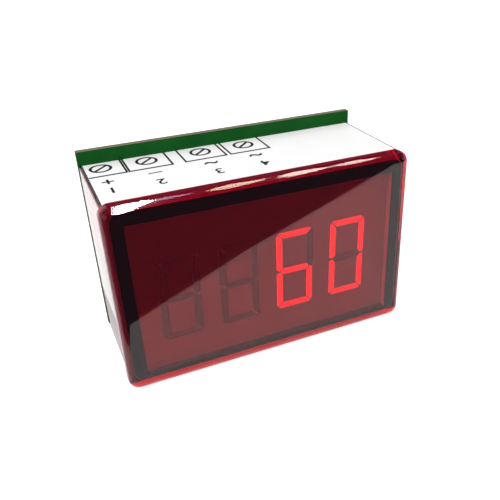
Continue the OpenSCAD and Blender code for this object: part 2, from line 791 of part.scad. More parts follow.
housing();
mask_frame();
light_block();
digit_1_bars();
digit_2_bars();
digit_3_bars();
digit_4_bars();
digit_3_dark_bar();
digit_4_dark_bar();
segment_leds();
display_board();
segment_resistors();
digit_drivers();
board_spacers();
header_strips();
header_pins();
rear_board();
board_screws();
top_label();
terminal_block_supply();
terminal_block_input();
terminal_contacts_supply();
terminal_contacts_input();
terminal_screw_1();
terminal_screw_2();
terminal_screw_3();
terminal_screw_4();
wire_clamp_1();
wire_clamp_2();
wire_clamp_3();
wire_clamp_4();
microcontroller();
crystal();
voltage_regulator();
filter_capacitor();
output_capacitor();
input_optocoupler();
input_resistors();
supply_diode();
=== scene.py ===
# %% [markdown]
# # An LED panel meter
# This file dresses a packed mechanical model of a panel meter: a one-piece ruby case that holds a
# display behind its clear front, and a circuit board across its open back. The solids already have
# their true sizes, so nothing here moves or resizes them. What this file adds is finish: the clear
# red plastic, the printed film on top, solder, tracks and the small rounded edges that catch light.

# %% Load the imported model
import math

import bmesh
import bpy
from mathutils import Matrix, Vector


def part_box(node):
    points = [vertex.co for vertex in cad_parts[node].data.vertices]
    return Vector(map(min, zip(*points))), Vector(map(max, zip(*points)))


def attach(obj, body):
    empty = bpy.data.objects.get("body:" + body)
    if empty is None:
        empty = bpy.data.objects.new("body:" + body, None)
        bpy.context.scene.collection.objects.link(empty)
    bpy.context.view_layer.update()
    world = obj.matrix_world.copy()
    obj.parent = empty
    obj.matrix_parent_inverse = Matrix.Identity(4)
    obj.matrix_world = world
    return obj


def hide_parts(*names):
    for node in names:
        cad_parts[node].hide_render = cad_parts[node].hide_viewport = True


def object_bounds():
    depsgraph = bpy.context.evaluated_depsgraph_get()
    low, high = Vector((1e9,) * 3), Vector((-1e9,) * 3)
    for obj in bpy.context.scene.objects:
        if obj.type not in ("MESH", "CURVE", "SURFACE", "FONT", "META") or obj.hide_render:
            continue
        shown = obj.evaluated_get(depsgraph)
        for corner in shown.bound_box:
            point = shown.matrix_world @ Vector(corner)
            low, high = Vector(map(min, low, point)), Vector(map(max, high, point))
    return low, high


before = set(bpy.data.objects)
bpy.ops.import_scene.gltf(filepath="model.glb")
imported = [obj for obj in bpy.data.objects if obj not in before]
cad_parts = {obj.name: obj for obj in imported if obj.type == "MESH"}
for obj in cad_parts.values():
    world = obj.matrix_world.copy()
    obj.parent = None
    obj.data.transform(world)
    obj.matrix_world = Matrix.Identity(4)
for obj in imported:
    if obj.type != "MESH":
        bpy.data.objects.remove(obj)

cad_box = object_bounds()
MM = 0.001
NEAR = 0.01 * MM  # points no further apart than this count as level with each other

# %% [markdown]
# ## Camera
# The meter stands on its flange and is seen from above on its left, close enough for strong
# perspective. The camera is placed by its position, the direction it looks in and a small roll, as a
# tripod would be set. A little lens shift keeps the meter in the middle without turning the camera.

# %% Camera
CAMERA_AT = Vector((-44.893, -110.579, 68.360)) * MM
LOOKING = Vector((0.3611, 0.7923, -0.4917)).normalized()
ROLL = math.radians(-1.24)

level = LOOKING.cross(Vector((0, 0, 1))).normalized()
upward = level.cross(LOOKING)
camera_right = math.cos(ROLL) * level + math.sin(ROLL) * upward
camera_up = camera_right.cross(LOOKING)
turn = Matrix((camera_right, camera_up, -LOOKING)).transposed().to_4x4()

camera_data = bpy.data.cameras.new("camera")
camera_data.lens = 44.6
camera_data.sensor_width = 36
camera_data.shift_x = -0.08
camera_data.shift_y = 0.02
camera_data.clip_start = 0.005
camera = bpy.data.objects.new("camera", camera_data)
camera.matrix_world = Matrix.Translation(CAMERA_AT) @ turn
bpy.context.scene.collection.objects.link(camera)
bpy.context.scene.camera = camera
bpy.context.scene.view_settings.view_transform = "Standard"
print("camera at", tuple(round(v / MM) for v in CAMERA_AT), "mm, lens", round(camera_data.lens, 1), "mm")

# %% [markdown]
# ## Node helpers
# Every finish below is a small node tree. One helper adds a node and sets or links its inputs by
# name, so that a material reads as a list of what feeds what. A link is given as an output socket,
# and a plain value is set on the socket itself.

# %% Node helpers
def add(tree, kind, settings=None, **inputs):
    """Adds a node; inputs are named as on the node, with _ for a space, or _0, _1 for a place."""
    node = tree.nodes.new(kind)
    for key, value in (settings or {}).items():
        setattr(node, key, value)
    for key, value in inputs.items():
        place = int(key[1:]) if key[1:].isdigit() else key.replace("_", " ")
        if isinstance(value, bpy.types.NodeSocket):
            tree.links.new(value, node.inputs[place])
        else:
            node.inputs[place].default_value = value
    return node


def math_node(tree, operation, a, b=0.0, clamp=False):
    return add(tree, "ShaderNodeMath", {"operation": operation, "use_clamp": clamp}, _0=a, _1=b).outputs[0]


def spread(tree, value, low, high, new_low, new_high):
    """Maps a value from one range to another, held at the ends."""
    node = add(tree, "ShaderNodeMapRange", None, Value=value)
    for key, number in (("From Min", low), ("From Max", high), ("To Min", new_low), ("To Max", new_high)):
        if isinstance(number, bpy.types.NodeSocket):
            tree.links.new(number, node.inputs[key])
        else:
            node.inputs[key].default_value = number
    return node.outputs[0]


def blend_colour(tree, factor, a, b, mode="MIX"):
    node = add(tree, "ShaderNodeMix", {"data_type": "RGBA", "blend_type": mode})
    for place, value in ((0, factor), (6, a), (7, b)):
        if isinstance(value, bpy.types.NodeSocket):
            tree.links.new(value, node.inputs[place])
        else:
            node.inputs[place].default_value = value if place == 0 else (*value, 1)
    return node.outputs[2]


def seen_directly(tree):
    """One for what the camera, a mirror image or clear plastic shows, none once light has scattered."""
    path = add(tree, "ShaderNodeLightPath").outputs
    either = math_node(tree, "ADD", path["Is Camera Ray"], path["Is Glossy Ray"])
    either = math_node(tree, "ADD", either, path["Is Transmission Ray"], clamp=True)
    return math_node(tree, "SUBTRACT", either, path["Diffuse Depth"], clamp=True)


def object_place(tree):
    """The place on the piece, in metres."""
    return add(tree, "ShaderNodeTexCoord").outputs["Object"]


def object_axes(tree):
    """The same place as three numbers: X, Y and Z."""
    return add(tree, "ShaderNodeSeparateXYZ", None, Vector=object_place(tree)).outputs


def bare_material(name, **plain):
    """A Principled material with a few plain inputs, named as in add; also its tree and its shader."""
    material = bpy.data.materials.new(name)
    material.use_nodes = True
    shader = material.node_tree.nodes["Principled BSDF"]
    for key, value in plain.items():
        shader.inputs[key.replace("_", " ")].default_value = value
    return material, material.node_tree, shader


def new_piece(name, data):
    """An object for a mesh or other data, linked to the scene."""
    piece = bpy.data.objects.new(name, data)
    bpy.context.scene.collection.objects.link(piece)
    return piece

# %% [markdown]
# ## One group for what every surface shares
# Real surfaces are never one flat value: colour drifts a little over centimetres, a moulding has a
# fine grain, and handling leaves faint hairlines that show only in the gloss. These three effects
# are built once as a group with named inputs. It puts out a tint, a change of roughness and a height.

# %% Surface detail group
def make_surface_group():
    tree = bpy.data.node_groups.new("surface detail", "ShaderNodeTree")
    face = tree.interface
    for name, value in (("Grain scale", 4000), ("Grain", 0.3), ("Drift", 0.05), ("Hairlines", 0.05)):
        face.new_socket(name, in_out="INPUT", socket_type="NodeSocketFloat").default_value = value
    face.new_socket("Tint", in_out="OUTPUT", socket_type="NodeSocketColor")
    face.new_socket("Rougher", in_out="OUTPUT", socket_type="NodeSocketFloat")
    face.new_socket("Height", in_out="OUTPUT", socket_type="NodeSocketFloat")
    given = tree.nodes.new("NodeGroupInput").outputs
    where = object_place(tree)

    patches = add(tree, "ShaderNodeTexNoise", None, Vector=where, Scale=90.0, Detail=3.0).outputs[0]
    low = math_node(tree, "SUBTRACT", 1.0, given["Drift"])
    high = math_node(tree, "ADD", 1.0, given["Drift"])
    tint = spread(tree, patches, 0.3, 0.7, low, high)

    grain = add(tree, "ShaderNodeTexNoise", None, Vector=where, Scale=given["Grain scale"], Detail=2.0)
    grain_height = math_node(tree, "MULTIPLY", grain.outputs[0], given["Grain"])

    drawn = add(tree, "ShaderNodeMapping", None, Vector=where,
                Rotation=(0.3, 0.5, 0.9), Scale=(40, 1400, 1400))
    lines = add(tree, "ShaderNodeTexNoise", None, Vector=drawn.outputs[0], Scale=2.0, Detail=1.0).outputs[0]
    thin = spread(tree, lines, 0.66, 0.72, 0.0, 1.0)
    somewhere = spread(tree, patches, 0.5, 0.62, 0.0, 1.0)
    marks = math_node(tree, "MULTIPLY", math_node(tree, "MULTIPLY", thin, somewhere), given["Hairlines"])
    uneven = math_node(tree, "MULTIPLY", math_node(tree, "SUBTRACT", patches, 0.5), given["Hairlines"])

    out = tree.nodes.new("NodeGroupOutput")
    tree.links.new(tint, out.inputs["Tint"])
    tree.links.new(math_node(tree, "ADD", marks, uneven), out.inputs["Rougher"])
    tree.links.new(grain_height, out.inputs["Height"])
    return tree


surface_group = make_surface_group()
print("shared detail:", len(surface_group.nodes), "nodes")

# %% [markdown]
# Most finishes here are a colour, a gloss and some share of that detail, so one function makes
# them. What a finish has beyond this, such as print or clear plastic, is added where it is needed.

# %% Finish helper
def finish(name, colour, roughness, metallic=0.0, grain=(4000, 0.3), drift=0.05, hairlines=0.05,
           depth=0.02, **plain):
    """A Principled material with the shared surface detail; depth is the grain's height in mm."""
    material, tree, shader = bare_material(name, Metallic=metallic, **plain)
    detail = add(tree, "ShaderNodeGroup", {"node_tree": surface_group})
    for key, value in (("Grain scale", grain[0]), ("Grain", grain[1]),
                       ("Drift", drift), ("Hairlines", hairlines)):
        detail.inputs[key].default_value = value
    tinted = blend_colour(tree, 1.0, colour, detail.outputs["Tint"], "MULTIPLY")
    tree.links.new(tinted, shader.inputs["Base Color"])
    rough = math_node(tree, "ADD", detail.outputs["Rougher"], roughness, clamp=True)
    tree.links.new(rough, shader.inputs["Roughness"])
    bump = add(tree, "ShaderNodeBump", None, Height=detail.outputs["Height"],
               Distance=depth * MM, Strength=1.0)
    tree.links.new(bump.outputs[0], shader.inputs["Normal"])
    return material


def parts_of(material):
    """The tree, the shader and the tinted base colour of a finish."""
    tree = material.node_tree
    shader = tree.nodes["Principled BSDF"]
    return tree, shader, shader.inputs["Base Color"].links[0].from_socket

# %% [markdown]
# ## Pieces from the solids
# A machined or moulded edge is never perfectly sharp, and that thin rounded line is what catches the
# light. So most visible pieces are a copy of their solid, with its loose triangles merged, its flat
# faces joined and a narrow bevel on its edges. The copy then stands for the solid.

# %% Piece helpers
MERGE_WITHIN = 0.002 * MM
FLAT_WITHIN = math.radians(0.2)
SHARP_FROM = math.radians(35)


def clean_copy(node, name, bevel=0.0, segments=2):
    """A merged copy of a CAD node's mesh, with its edges rounded by bevel in mm."""
    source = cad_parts[node].data
    mesh = bpy.data.meshes.new(name)
    mesh.from_pydata([v.co for v in source.vertices], [], [p.vertices[:] for p in source.polygons])
    shape = bmesh.new()
    shape.from_mesh(mesh)
    bmesh.ops.remove_doubles(shape, verts=shape.verts, dist=MERGE_WITHIN)
    bmesh.ops.dissolve_limit(shape, angle_limit=FLAT_WITHIN, verts=shape.verts, edges=shape.edges)
    shape.to_mesh(mesh)
    shape.free()
    mesh.shade_smooth()
    mesh.set_sharp_from_angle(angle=SHARP_FROM)
    piece = new_piece(name, mesh)
    if bevel:
        rounding = piece.modifiers.new("rounding", "BEVEL")
        rounding.width = bevel * MM
        rounding.segments = segments
        rounding.limit_method = "ANGLE"
        rounding.angle_limit = SHARP_FROM
        rounding.harden_normals = True
    return piece


def bake_mesh(piece):
    """Applies what a piece's modifiers make, so that a plain mesh is left."""
    graph = bpy.context.evaluated_depsgraph_get()
    solid = bpy.data.meshes.new_from_object(piece.evaluated_get(graph), depsgraph=graph)
    piece.modifiers.clear()
    piece.data = solid
    return piece


def place(piece, material, slot, body="meter", replaces=()):
    """Gives a finished piece its material, its body and the nodes that it stands for."""
    if not piece.data.materials:
        piece.data.materials.append(material)
    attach(piece, body)
    if replaces:
        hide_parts(*replaces)
    return piece


def paint(piece, materials, choose):
    """Gives each face the material whose place in the list choose(face) returns."""
    piece.data.materials.clear()
    for material in materials:
        piece.data.materials.append(material)
    for face in piece.data.polygons:
        face.material_index = choose(face)
    return piece


def dress_node(node, material):
    """A CAD node that shows as it is gets its finish here."""
    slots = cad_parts[node].data.materials
    slots.clear()
    slots.append(material)


def dressed(node, name, material, slot, bevel, body="meter", segments=2):
    """A CAD node's rounded copy, in one step."""
    piece = bake_mesh(clean_copy(node, name, bevel, segments))
    return place(piece, material, slot, body, [node])

# %% [markdown]
# ## Ruby case
# The case is one moulding of clear ruby acrylic: the flange, the front wall and the four sides. A
# surface colour can't give what clear plastic does, which is to grow darker the further light goes
# through it. So the surface is clear and the red is an absorbing volume inside it. A ray that only
# tests for shadow passes straight through the surface, and the volume still tints it, so that the
# lamps light what is inside. The flange's rounded rim also gets a painted glow, a share of plain
# body colour that stands in for light that entered elsewhere and leaves a thick moulded edge there.
# The painted glow is strongest and pinkest on the right, which is where this camera sees it so.

# %% Ruby case
ACRYLIC_IOR = 1.49
RUBY_ABSORPTION = 1900.0  # per metre
RIM_FADE = 0.2 * MM  # behind the flange's back, which is at Y = 0
# Colours of the painted glow on the flange's rim: red towards the left, pink towards the right.
RIM_GLOW_RED, RIM_GLOW_PINK = (0.60, 0.010, 0.055), (1.0, 0.055, 0.13)


def make_ruby():
    """Clear polished plastic round an absorbing volume, with a painted glow on the flange's rim, strongest on
    the right.
    """
    material, tree, shader = bare_material("ruby_plastic", Base_Color=(1, 1, 1, 1), Transmission_Weight=1.0,
                                           IOR=ACRYLIC_IOR)
    detail = add(tree, "ShaderNodeGroup", {"node_tree": surface_group})
    detail.inputs["Hairlines"].default_value = 0.03
    rough = math_node(tree, "ADD", detail.outputs["Rougher"], 0.004, clamp=True)

    normal = add(tree, "ShaderNodeNewGeometry").outputs["Normal"]
    facing = add(tree, "ShaderNodeSeparateXYZ", None, Vector=normal).outputs
    turned = spread(tree, math_node(tree, "ABSOLUTE", facing["Y"]), 0.80, 0.985, 1.0, 0.0)
    on_flange = spread(tree, object_axes(tree)["Y"], 0.0, RIM_FADE, 1.0, 0.0)
    rim = math_node(tree, "MULTIPLY", turned, on_flange)
    # Painted glow: the rim takes a share of diffuse red that grows stronger and pinker towards the right.
    glow_to_right = spread(tree, facing["X"], 0.15, 0.55, 0.0, 1.0)
    rim_glow_share = math_node(tree, "MULTIPLY", rim, spread(tree, glow_to_right, 0.0, 1.0, 0.16, 0.70))
    rough = math_node(tree, "ADD", rough, math_node(tree, "MULTIPLY", rim, 0.06))
    tree.links.new(rough, shader.inputs["Roughness"])

    body = add(tree, "ShaderNodeBsdfDiffuse")
    tree.links.new(blend_colour(tree, glow_to_right, RIM_GLOW_RED, RIM_GLOW_PINK), body.inputs["Color"])
    with_rim_glow = add(tree, "ShaderNodeMixShader", None, _0=rim_glow_share, _1=shader.outputs[0], _2=body.outputs[0])
    open_to_lamps = add(tree, "ShaderNodeBsdfTransparent", None, Color=(0.9, 0.9, 0.9, 1))
    path = add(tree, "ShaderNodeLightPath")
    either = add(tree, "ShaderNodeMixShader", None, _0=path.outputs["Is Shadow Ray"],
                 _1=with_rim_glow.outputs[0], _2=open_to_lamps.outputs[0])
    volume = add(tree, "ShaderNodeVolumeAbsorption", None,
                 Color=(0.93, 0.06, 0.36, 1), Density=RUBY_ABSORPTION)
    output = tree.nodes["Material Output"]
    tree.links.new(either.outputs[0], output.inputs["Surface"])
    tree.links.new(volume.outputs[0], output.inputs["Volume"])
    return material


ruby = make_ruby()
case = dressed("housing", "ruby_case", ruby, "ruby_plastic", bevel=0.15)
print("case:", len(case.data.polygons), "faces")

# %% [markdown]
# ## Window frame
# A black frame sits tight against the inside of the front wall. Where it touches the clear plastic
# there is no air behind the wall, so there is no second reflection and the frame looks deep black.
# Its front is drawn forward a hair into the wall to get that contact. The upright sides of its
# opening are pale, because only its front and its bars were blacked.

# %% Window frame
frame_black = finish("black_frame", (0.004, 0.004, 0.0045), 0.45, grain=(6000, 0.5), depth=0.01,
                     Specular_IOR_Level=0.05)
frame_side = finish("frame_side", (0.62, 0.60, 0.60), 0.5, grain=(6000, 0.5), depth=0.01)
FRAME_GAP = 0.05 * MM  # what the solids leave between frame and wall
CONTACT = 0.02 * MM

window_frame = clean_copy("mask_frame", "window_frame")
frame_low, frame_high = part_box("mask_frame")
for vertex in window_frame.data.vertices:
    if vertex.co.y < frame_low.y + NEAR:
        vertex.co.y = frame_low.y - FRAME_GAP - CONTACT
frame_middle = (frame_low + frame_high) / 2


def frame_face(face):
    """The second finish for the opening's two upright sides, which face the middle."""
    upright = abs(face.normal.x) > 0.7
    inward = (frame_middle.x - face.center.x) * face.normal.x > 0
    return 1 if upright and inward else 0


paint(window_frame, [frame_black, frame_side], frame_face)
place(window_frame, frame_black, "black_frame", replaces=["mask_frame"])
print("window frame:", len(window_frame.data.polygons), "faces")

# %% [markdown]
# ## Display block and bars
# Behind the window is a dark moulded block with a well for every bar. Each well is filled flush with
# clear resin. A bar that is off is a little darker than the face round it, and a bar that is on
# glows evenly. The hairline gap round a filling draws the outline. Below a slanting line the window
# mirrors the pale floor, and what lies behind it looks paler. The mirror image alone comes out too
# weak here, so the finish itself is painted paler below that line. The line was worked out for this
# camera and stays on the piece, so from another side the paint doesn't move as a reflection would.

# %% Display block and bars
BORDER_SLOPE = 0.374
BORDER_TOP, BORDER_FOOT = 7.2 * MM, 5.6 * MM  # heights at X = 0


def graded(name, dark, pale, **plain):
    """A finish painted paler below a slanting line, to go with what this camera sees mirrored."""
    material = finish(name, (1, 1, 1), 0.30, grain=(5000, 0.4), drift=0.06, depth=0.01, **plain)
    tree, shader, tinted = parts_of(material)
    axes = object_axes(tree)
    border = math_node(tree, "MULTIPLY", axes["X"], BORDER_SLOPE)
    below = math_node(tree, "SUBTRACT", border, axes["Z"])
    colour = blend_colour(tree, spread(tree, below, -BORDER_TOP, -BORDER_FOOT, 0.0, 1.0), dark, pale)
    tree.links.new(blend_colour(tree, 1.0, tinted, colour, "MULTIPLY"), shader.inputs["Base Color"])
    return material


block_face = graded("block_face", (0.013, 0.012, 0.013), (0.125, 0.105, 0.130), Specular_IOR_Level=0.2)
well_wall = finish("well_wall", (0.020, 0.016, 0.018), 0.6, grain=(5000, 0.4), depth=0.01)
display_block = clean_copy("light_block", "display_block")
block_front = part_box("light_block")[0].y
paint(display_block, [block_face, well_wall],
      lambda face: 0 if face.center.y < block_front + NEAR else 1)
place(display_block, block_face, "grey_block", replaces=["light_block"])
print("display block:", len(display_block.data.polygons), "faces")

# %% Bars, off and on
dark_bar = graded("dark_bar", (0.009, 0.006, 0.008), (0.040, 0.026, 0.034), Specular_IOR_Level=0.2)


def make_lit_bar():
    """The glow shows to the camera and in mirror images, and lights nothing round it."""
    material = finish("lit_bar", (0.10, 0.01, 0.01), 0.35, grain=(3000, 0.3), drift=0.06, depth=0.01)
    tree, shader, _ = parts_of(material)
    detail = next(node for node in tree.nodes if node.type == "GROUP")
    glow = blend_colour(tree, 1.0, (1.16, 0.02, 0.04), detail.outputs["Tint"], "MULTIPLY")
    tree.links.new(glow, shader.inputs["Emission Color"])
    tree.links.new(seen_directly(tree), shader.inputs["Emission Strength"])
    material.cycles.emission_sampling = "NONE"
    return material


lit_bar = make_lit_bar()
for node in ("digit_1_bars", "digit_2_bars", "digit_3_dark_bar", "digit_4_dark_bar"):
    dress_node(node, dark_bar)
for node in ("digit_3_bars", "digit_4_bars"):
    dress_node(node, lit_bar)

# %% [markdown]
# ## Circuit boards
# A board is a sheet of woven glass in resin. Its faces carry a thin green lacquer over the copper,
# and its sawn edges show the bare sheet, which is a dull buff. The material tells the two apart by
# which way the surface faces, so one finish serves the whole sheet.

# %% Circuit boards
def make_board(name, lacquer, edge):
    """Lacquered faces with a faint weave, and bare sawn edges with the layers showing."""
    material = finish(name, lacquer, 0.42, grain=(1500, 0.5), drift=0.12, hairlines=0.08, depth=0.012,
                      Specular_IOR_Level=0.09)
    tree, shader, tinted = parts_of(material)
    where = object_place(tree)

    def threads(direction, scale, distortion):
        wave = add(tree, "ShaderNodeTexWave", {"bands_direction": direction}, Vector=where,
                   Scale=scale, Distortion=distortion)
        return wave.outputs[1]

    cloth = math_node(tree, "ADD", threads("X", 420.0, 1.5), threads("Z", 420.0, 1.5))
    woven = spread(tree, cloth, 0.3, 1.7, 0.96, 1.04)
    face = blend_colour(tree, 1.0, tinted, woven, "MULTIPLY")
    normal = add(tree, "ShaderNodeNewGeometry").outputs["Normal"]
    facing = add(tree, "ShaderNodeSeparateXYZ", None, Vector=normal).outputs["Y"]
    flat = spread(tree, math_node(tree, "ABSOLUTE", facing), 0.6, 0.75, 0.0, 1.0)
    layers = spread(tree, threads("Y", 900.0, 2.0), 0.0, 1.0, 0.0, 0.5)
    sawn = blend_colour(tree, layers, edge, (0.10, 0.09, 0.05))
    tree.links.new(blend_colour(tree, flat, sawn, face), shader.inputs["Base Color"])
    rough = shader.inputs["Roughness"].links[0].from_socket
    rougher = math_node(tree, "ADD", rough, spread(tree, flat, 0.0, 1.0, 0.4, 0.0))
    tree.links.new(rougher, shader.inputs["Roughness"])
    return material


board = make_board("circuit_board", (0.0015, 0.078, 0.008), (0.20, 0.165, 0.12))
rear = dressed("rear_board", "rear_circuit_board", board, "circuit_board", bevel=0.06, segments=1)
dressed("display_board", "front_circuit_board", board, "circuit_board", bevel=0.0)
print("rear board:", len(rear.data.polygons), "faces")

# %% [markdown]
# ## Tracks, pads and solder
# Every lead that comes through the board ends in a small shiny cone of solder on a round copper
# land, and the lands are joined by tracks that run straight or at 45 degrees under the lacquer. All
# of them repeat, so Geometry Nodes make them: one tree sets a cone as wide as its land on each
# point, and another sweeps a flat strip along each line.

# %% Where the leads come out
board_low, board_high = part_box("rear_board")
REAR_FACE = board_high.y
LAND_REACH = 1.1 * MM
LEAD_END = 0.9 * MM


def middle_of(values):
    return (min(values) + max(values)) / 2


def stubs(node):
    """Centres of a node's leads where they stand out of the board's rear face."""
    leads = []
    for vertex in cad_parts[node].data.vertices:
        spot = vertex.co
        if spot.y > REAR_FACE + LEAD_END:
            near = [lead for lead in leads if math.hypot(lead[0].x - spot.x, lead[0].z - spot.z) < LAND_REACH]
            if near:
                near[0].append(spot)
            else:
                leads.append([spot])
    return sorted((middle_of([p.x for p in lead]), middle_of([p.z for p in lead])) for lead in leads)


LEADED = ["header_pins", "crystal", "voltage_regulator", "filter_capacitor", "output_capacitor",
          "input_optocoupler", "input_resistors", "supply_diode"]
lands = {node: stubs(node) for node in LEADED}
print("leads through the board:", {node: len(places) for node, places in lands.items()})

# %% Solder tree
solder = finish("solder", (0.72, 0.72, 0.70), 0.22, metallic=1.0, grain=(2500, 0.6), drift=0.06, depth=0.02)
HOLLOW = 1.1  # how far a cone's side is drawn in


def geometry_tree(name, sizes):
    """A Geometry Nodes tree with a mesh in, a mesh out and one named input for each size in mm."""
    tree = bpy.data.node_groups.new(name, "GeometryNodeTree")
    tree.interface.new_socket("Geometry", in_out="INPUT", socket_type="NodeSocketGeometry")
    tree.interface.new_socket("Geometry", in_out="OUTPUT", socket_type="NodeSocketGeometry")
    for key, value in sizes.items():
        size = tree.interface.new_socket(key, in_out="INPUT", socket_type="NodeSocketFloat")
        size.default_value = value * MM
    return tree, tree.nodes.new("NodeGroupInput").outputs, tree.nodes.new("NodeGroupOutput")


def on_points(tree, given, shape, **how):
    """A copy of a shape on each point of the tree's input."""
    points = add(tree, "GeometryNodeMeshToPoints")
    tree.links.new(given["Geometry"], points.inputs["Mesh"])
    return add(tree, "GeometryNodeInstanceOnPoints", None, Points=points.outputs[0], Instance=shape,
               **how).outputs[0]


def end_tree(tree, out, made, material, smooth=False):
    """Makes copies real, gives them their finish and hands them out."""
    made = add(tree, "GeometryNodeRealizeInstances", None, Geometry=made).outputs[0]
    if smooth:
        made = add(tree, "GeometryNodeSetShadeSmooth", None, Geometry=made).outputs[0]
    final = add(tree, "GeometryNodeSetMaterial", None, Geometry=made, Material=material)
    tree.links.new(final.outputs[0], out.inputs["Geometry"])
    return tree


def grow(name, points, edges, tree):
    """Runs a tree on a few points or lines and keeps the plain mesh it makes."""
    mesh = bpy.data.meshes.new(name)
    mesh.from_pydata(points, edges, [])
    piece = new_piece(name, mesh)
    piece.modifiers.new("grow", "NODES").node_group = tree
    return bake_mesh(piece)


def solder_tree():
    """A hollow-sided cone of solder on each point, as wide as its land, standing out along +Y."""
    tree, given, out = geometry_tree("solder joints", {
        "Land radius": 0.95, "Lead radius": 0.42, "Height": 0.85})
    cone = add(tree, "GeometryNodeMeshCone", {"fill_type": "NGON"}, Vertices=20, Side_Segments=6,
               Radius_Top=given["Lead radius"], Radius_Bottom=given["Land radius"], Depth=given["Height"])
    spot = add(tree, "GeometryNodeInputPosition").outputs[0]
    height = add(tree, "ShaderNodeSeparateXYZ", None, Vector=spot).outputs["Z"]
    share = math_node(tree, "DIVIDE", height, given["Height"])
    bow = math_node(tree, "MULTIPLY", share, math_node(tree, "SUBTRACT", 1.0, share))
    pull = math_node(tree, "SUBTRACT", 1.0, math_node(tree, "MULTIPLY", bow, HOLLOW))
    inward = add(tree, "ShaderNodeCombineXYZ", None, X=pull, Y=pull, Z=1.0)
    shaped = add(tree, "ShaderNodeVectorMath", {"operation": "MULTIPLY"}, _0=spot, _1=inward.outputs[0])
    hollow = add(tree, "GeometryNodeSetPosition", None, Geometry=cone.outputs[0], Position=shaped.outputs[0])
    turned = on_points(tree, given, hollow.outputs[0], Rotation=(math.radians(-90), 0, 0))
    return end_tree(tree, out, turned, solder, smooth=True)


all_lands = [spot for places in lands.values() for spot in places]
joints = grow("solder_joints", [(x, REAR_FACE, z) for x, z in all_lands], [], solder_tree())
place(joints, solder, "plated_steel")
print("solder joints:", len(all_lands))

# %% Track tree
lacquered = finish("lacquered_track", (0.005, 0.135, 0.022), 0.28, grain=(1500, 0.4), drift=0.08, depth=0.01)
CONTACT_DROP = 4.6 * MM  # from a terminal's screw down to its contact's lead
FOOT_Z = -18.6 * MM  # where the regulator's short track ends


def track_tree():
    """A flat strip along each line, half sunk in the board's face."""
    tree, given, out = geometry_tree("tracks", {"Track width": 0.7, "Track height": 0.08})
    lines = add(tree, "GeometryNodeMeshToCurve")
    tree.links.new(given["Geometry"], lines.inputs["Mesh"])
    level = add(tree, "GeometryNodeSetCurveNormal", {"mode": "FREE"}, Normal=(0, 1, 0))
    tree.links.new(lines.outputs[0], level.inputs["Curve"])
    section = add(tree, "GeometryNodeCurvePrimitiveQuadrilateral", None,
                  Width=given["Track height"], Height=given["Track width"])
    strip = add(tree, "GeometryNodeCurveToMesh", None,
                Curve=level.outputs[0], Profile_Curve=section.outputs[0])
    strip.inputs["Fill Caps"].default_value = True
    return end_tree(tree, out, strip.outputs[0], lacquered)


def route(a, b, first="z"):
    """A track from a to b: straight along one axis, then at 45 degrees, then straight again."""
    (ax, az), (bx, bz) = a, b
    dx, dz = bx - ax, bz - az
    slant = min(abs(dx), abs(dz))
    sx, sz = math.copysign(slant, dx), math.copysign(slant, dz)
    if first == "z":
        middle = [(ax, az + (dz - sz) / 2), (ax + sx, az + (dz - sz) / 2 + sz)]
        return [a, *middle, (bx, middle[1][1]) if abs(dx) > slant else middle[1], b]
    middle = [(ax + (dx - sx) / 2, az), (ax + (dx - sx) / 2 + sx, az + sz)]
    return [a, *middle, (middle[1][0], bz) if abs(dz) > slant else middle[1], b]


def lay_tracks():
    """The routes of all tracks, most of them from one lead to another."""
    pins = lands["header_pins"]
    lower = sorted(p for p in pins if p[1] < 0)
    upper = sorted(p for p in pins if p[1] > 0)
    regulator = lands["voltage_regulator"]
    filter_pair, output_pair = lands["filter_capacitor"], lands["output_capacitor"]
    resistors = sorted(lands["input_resistors"])
    coupler = sorted(lands["input_optocoupler"])
    diode = lands["supply_diode"]
    screws = [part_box(f"terminal_screw_{n}") for n in (1, 2, 3, 4)]
    contacts = [(middle_of((low.x, high.x)), middle_of((low.z, high.z)) - CONTACT_DROP)
                for low, high in screws]
    return [
        route(contacts[0], diode[0]), route(diode[1], regulator[2]), route(contacts[1], regulator[1]),
        route(contacts[2], coupler[1]), route(contacts[3], resistors[3], "x"),
        route(coupler[3], resistors[1], "x"), route(coupler[2], resistors[0], "x"),
        route(coupler[0], lower[1]), route(resistors[2], lower[9]),
        route(filter_pair[0], upper[0]), route(filter_pair[1], upper[5]),
        route(filter_pair[0], output_pair[0]), route(filter_pair[1], output_pair[1]),
        route(output_pair[0], lower[11]), route(regulator[0], (regulator[0][0], FOOT_Z)),
    ]


def network(routes):
    """All routes as one set of points and edges on the board, without points that repeat."""
    points, edges = [], []
    for line in routes:
        kept = [line[0]] + [b for a, b in zip(line, line[1:]) if math.dist(a, b) > NEAR]
        start = len(points)
        points += [(x, REAR_FACE, z) for x, z in kept]
        edges += [(start + i, start + i + 1) for i in range(len(kept) - 1)]
    return points, edges


tracks = grow("board_tracks", *network(lay_tracks()), track_tree())
place(tracks, lacquered, "circuit_board")
print("tracks:", len(tracks.data.polygons), "faces")

# %% [markdown]
# ## Printed film
# The film on top tells the installer which terminal is which. It is white satin film with black
# line art: a box with a screw head for each terminal, open towards the board, and a sign under it.
# It reads from behind, so everything on it is turned half round. The places for words stay bare
# apart from plain terminal numbers.

# %% Film
film = finish("label_film", (0.93, 0.93, 0.93), 0.48, grain=(2500, 0.5), drift=0.015, hairlines=0.06,
              depth=0.008)
dress_node("top_label", film)
ink = finish("label_ink", (0.008, 0.008, 0.009), 0.5, grain=(3000, 0.4), drift=0.1, depth=0.005,
             Specular_IOR_Level=0.1)

film_low, film_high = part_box("top_label")
INK_T = 0.012 * MM
INK_LEVEL = film_high.z + INK_T / 2
POLE_PLACES = (-29.35, -19.40, -7.05, 3.40)  # from the film's middle, in mm
poles = [middle_of((film_low.x, film_high.x)) + x * MM for x in POLE_PLACES]
print("film:", [round(side / MM, 2) for side in film_high - film_low], "mm")

